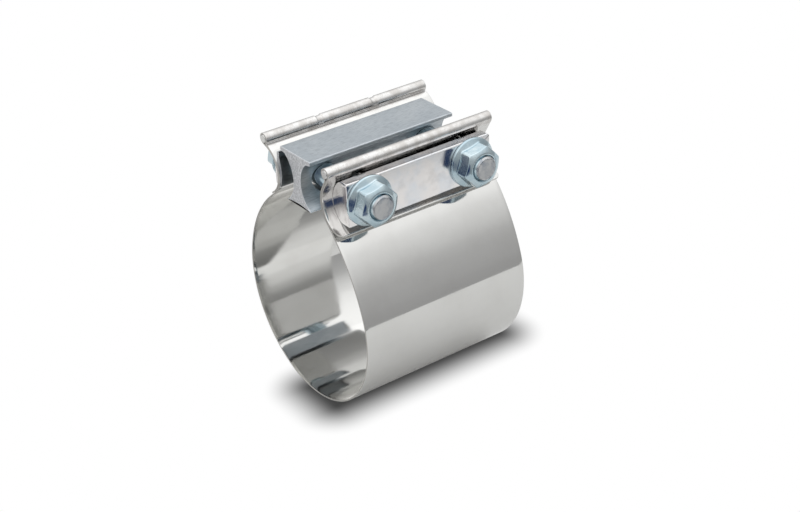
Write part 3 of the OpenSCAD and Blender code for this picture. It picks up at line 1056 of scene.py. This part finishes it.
# %% Floor
FLOOR_Z = band_low.z - 0.02
FLOOR_FAR = 1500
FLOOR_EDGE_X = 188
DARK_PLACES = ((-118, -118, (0.10, 0.09, 0.10)), (182, -95, (0.01, 0.035, 0.12)))
DARK_REACH = 58
DARK_CORE = 22
SHADOW_MIDDLE = (5, 4)
SHADOW_HALF = (8, 39)
SHADOW_REACH = 20.5
SHADOW_DARKEST = 0.06
floor_points = [(-FLOOR_FAR, -FLOOR_FAR, FLOOR_Z), (FLOOR_EDGE_X, -FLOOR_FAR, FLOOR_Z),
                (FLOOR_EDGE_X, FLOOR_FAR, FLOOR_Z), (-FLOOR_FAR, FLOOR_FAR, FLOOR_Z)]
floor = make_piece("studio_floor", floor_points, [(0, 1, 2, 3)], smooth=False)


def paper_colour(tree, place):
    """Pale paper with the dark places on it."""
    clouds = use_group(tree, blotch_group, Scale=8.0, Low=0.3, High=0.8, Seed=1.0)
    paper = blend_colours(tree, clouds.outputs[0], (0.70, 0.70, 0.695), (0.73, 0.73, 0.725))
    for x, y, colour in DARK_PLACES:
        away = add_node(tree, "ShaderNodeVectorMath", {1: Vector((x, y, FLOOR_Z)) * MM},
                        {0: place}, operation="DISTANCE")
        shade = add_node(tree, "ShaderNodeMapRange",
                         {"From Min": DARK_REACH * MM, "From Max": DARK_CORE * MM},
                         {"Value": away.outputs["Value"]}, interpolation_type="SMOOTHSTEP")
        paper = blend_colours(tree, shade.outputs[0], paper, colour)
    return paper


def soft_shadow(tree, place):
    """Brightness of the ground, by the distance from a box that lies under the clamp."""
    centred = add_node(tree, "ShaderNodeVectorMath", {1: Vector((*SHADOW_MIDDLE, FLOOR_Z)) * MM},
                       {0: place}, operation="SUBTRACT")
    folded = add_node(tree, "ShaderNodeVectorMath", links={0: centred.outputs[0]},
                      operation="ABSOLUTE")
    outside = add_node(tree, "ShaderNodeVectorMath", {1: Vector((*SHADOW_HALF, 1)) * MM},
                       {0: folded.outputs[0]}, operation="SUBTRACT")
    beyond = add_node(tree, "ShaderNodeVectorMath", {1: (0, 0, 0)}, {0: outside.outputs[0]},
                      operation="MAXIMUM")
    gap = add_node(tree, "ShaderNodeVectorMath", links={0: beyond.outputs[0]}, operation="LENGTH")
    return add_node(tree, "ShaderNodeMapRange",
                    {"From Max": SHADOW_REACH * MM, "To Min": SHADOW_DARKEST},
                    {"Value": gap.outputs["Value"]}, interpolation_type="SMOOTHSTEP").outputs[0]


def make_floor_finish():
    """Matt paper for the metal's reflections, and a white ground with a shadow for the camera."""
    finish, tree, shader = new_finish("pale floor", metallic=0.0)
    place = add_node(tree, "ShaderNodeTexCoord").outputs["Object"]
    tree.links.new(paper_colour(tree, place), shader.inputs["Base Color"])
    shader.inputs["Roughness"].default_value = 0.9
    shader.inputs["Specular IOR Level"].default_value = 0.1
    seen = add_node(tree, "ShaderNodeEmission", links={"Color": soft_shadow(tree, place)})
    ray = add_node(tree, "ShaderNodeLightPath")
    either = add_node(tree, "ShaderNodeMixShader", links={
        0: ray.outputs["Is Camera Ray"], 1: shader.outputs[0], 2: seen.outputs[0]})
    tree.links.new(either.outputs[0], tree.nodes["Material Output"].inputs["Surface"])
    return finish


floor.data.materials.append(make_floor_finish())
print("floor at z", round(FLOOR_Z, 2), "mm")


# %% [markdown]
# The studio round the clamp is a gradient by height: mid grey below the horizon, brighter above it
# and brightest overhead. An HDR photo of a room would be quicker, but a gradient lets each level be
# set by the band's own bright and dark stripes. One dark patch low on the right stands for an open
# door. The picture's background is plain white, which the camera sees in place of the gradient.

# %% Studio surround
SKY = ((-90, 0.42), (-15, 0.44), (-4, 0.475), (3, 0.53), (9, 0.57), (14, 0.65), (19.5, 0.81),
       (24.5, 0.93), (30, 1.06), (35, 1.25), (45, 1.36), (60, 1.45), (90, 1.55))
PATCH_DIRECTION = Vector((0.746, -0.637, -0.196))
PATCH_OUTER = 0.93
PATCH_INNER = 0.975
PATCH_COLOUR = (0.01, 0.04, 0.13)


def sky_gradient(tree, direction):
    """A grey by the height of the direction: each stop is (degrees above the horizon, level)."""
    apart = add_node(tree, "ShaderNodeSeparateXYZ", links={0: direction})
    height = math_node(tree, "ADD", math_node(tree, "MULTIPLY", apart.outputs[2], 0.5), 0.5)
    ramp = add_node(tree, "ShaderNodeValToRGB", links={0: height})
    elements = ramp.color_ramp.elements
    # A new ramp has two stops: one goes, and the other takes the lowest level.
    elements.remove(elements[1])
    for degrees, level in SKY:
        position = 0.5 + 0.5 * math.sin(math.radians(degrees))
        element = elements[0] if degrees == -90 else elements.new(position)
        element.color = (level, level, level * 0.995, 1)
    return ramp.outputs[0]


def make_surround():
    """A world that lights and mirrors as a studio, and looks white to the camera."""
    world = bpy.data.worlds.new("soft studio")
    bpy.context.scene.world = world
    world.use_nodes = True
    tree = world.node_tree
    tree.nodes.clear()
    direction = add_node(tree, "ShaderNodeTexCoord").outputs["Generated"]
    towards = add_node(tree, "ShaderNodeVectorMath", {1: PATCH_DIRECTION}, {0: direction},
                       operation="DOT_PRODUCT")
    patch = add_node(tree, "ShaderNodeMapRange",
                     {"From Min": PATCH_OUTER, "From Max": PATCH_INNER},
                     {"Value": towards.outputs["Value"]}, interpolation_type="SMOOTHSTEP")
    room = blend_colours(tree, patch.outputs[0], sky_gradient(tree, direction), PATCH_COLOUR)
    seen = add_node(tree, "ShaderNodeBackground", {"Color": (1, 1, 1, 1), "Strength": 1.0})
    lit = add_node(tree, "ShaderNodeBackground", {"Strength": 1.0}, {"Color": room})
    ray = add_node(tree, "ShaderNodeLightPath")
    either = add_node(tree, "ShaderNodeMixShader", links={
        0: ray.outputs["Is Camera Ray"], 1: lit.outputs[0], 2: seen.outputs[0]})
    add_node(tree, "ShaderNodeOutputWorld", links={0: either.outputs[0]})
    return world


surround = make_surround()
print("world", surround.name, "with", len(SKY), "levels")


# %% [markdown]
# Most light comes from the surround. One large, weak area lamp overhead adds a soft highlight on
# the flat tops. A sun lamp would give hard edges, which the photo doesn't have.

# %% Soft light overhead
def soft_light(name, place_mm, target_mm, size_mm, watts):
    """A square area light aimed at a point."""
    lamp = bpy.data.lights.new(name, "AREA")
    lamp.shape = "SQUARE"
    lamp.size = size_mm * MM
    lamp.energy = watts
    holder = bpy.data.objects.new(name, lamp)
    bpy.context.scene.collection.objects.link(holder)
    holder.location = Vector(place_mm) * MM
    aim = Vector(target_mm) * MM - holder.location
    holder.rotation_mode = "QUATERNION"
    holder.rotation_quaternion = aim.to_track_quat("-Z", "Y")
    return holder


softbox = soft_light("overhead softbox", (-200, 200, 1500), (0, 0, 0), 1500, 1)
print("lamp", softbox.name, "with", softbox.data.energy, "W")


# %% [markdown]
# The camera stands where the photographer stood: to the right of the front, looking down at 29
# degrees through a long lens. The place was found by fitting points and rims of the clamp to the
# photo. A long lens keeps the far loop nearly as large as the near one.

# %% Camera
CAMERA_PLACE = Vector((0.42845, -0.28640, 0.29205))
CAMERA_FORWARD = Vector((-0.72183631, 0.49421603, -0.48446141))
CAMERA_RIGHT = Vector((0.58862447, 0.806587, -0.05420926))
camera_data = bpy.data.cameras.new("photo camera")
camera_data.sensor_width = 36
camera_data.lens = 69.27
camera_data.clip_start = 0.01
camera_data.clip_end = 20
camera = bpy.data.objects.new("photo camera", camera_data)
bpy.context.scene.collection.objects.link(camera)
forward = CAMERA_FORWARD.normalized()
right = (CAMERA_RIGHT - forward * CAMERA_RIGHT.dot(forward)).normalized()
turn = Matrix((right, right.cross(forward), -forward)).transposed()
camera.matrix_world = Matrix.Translation(CAMERA_PLACE) @ turn.to_4x4()
bpy.context.scene.camera = camera
bpy.context.scene.view_settings.view_transform = "Standard"
print("camera at", [round(v, 3) for v in CAMERA_PLACE])
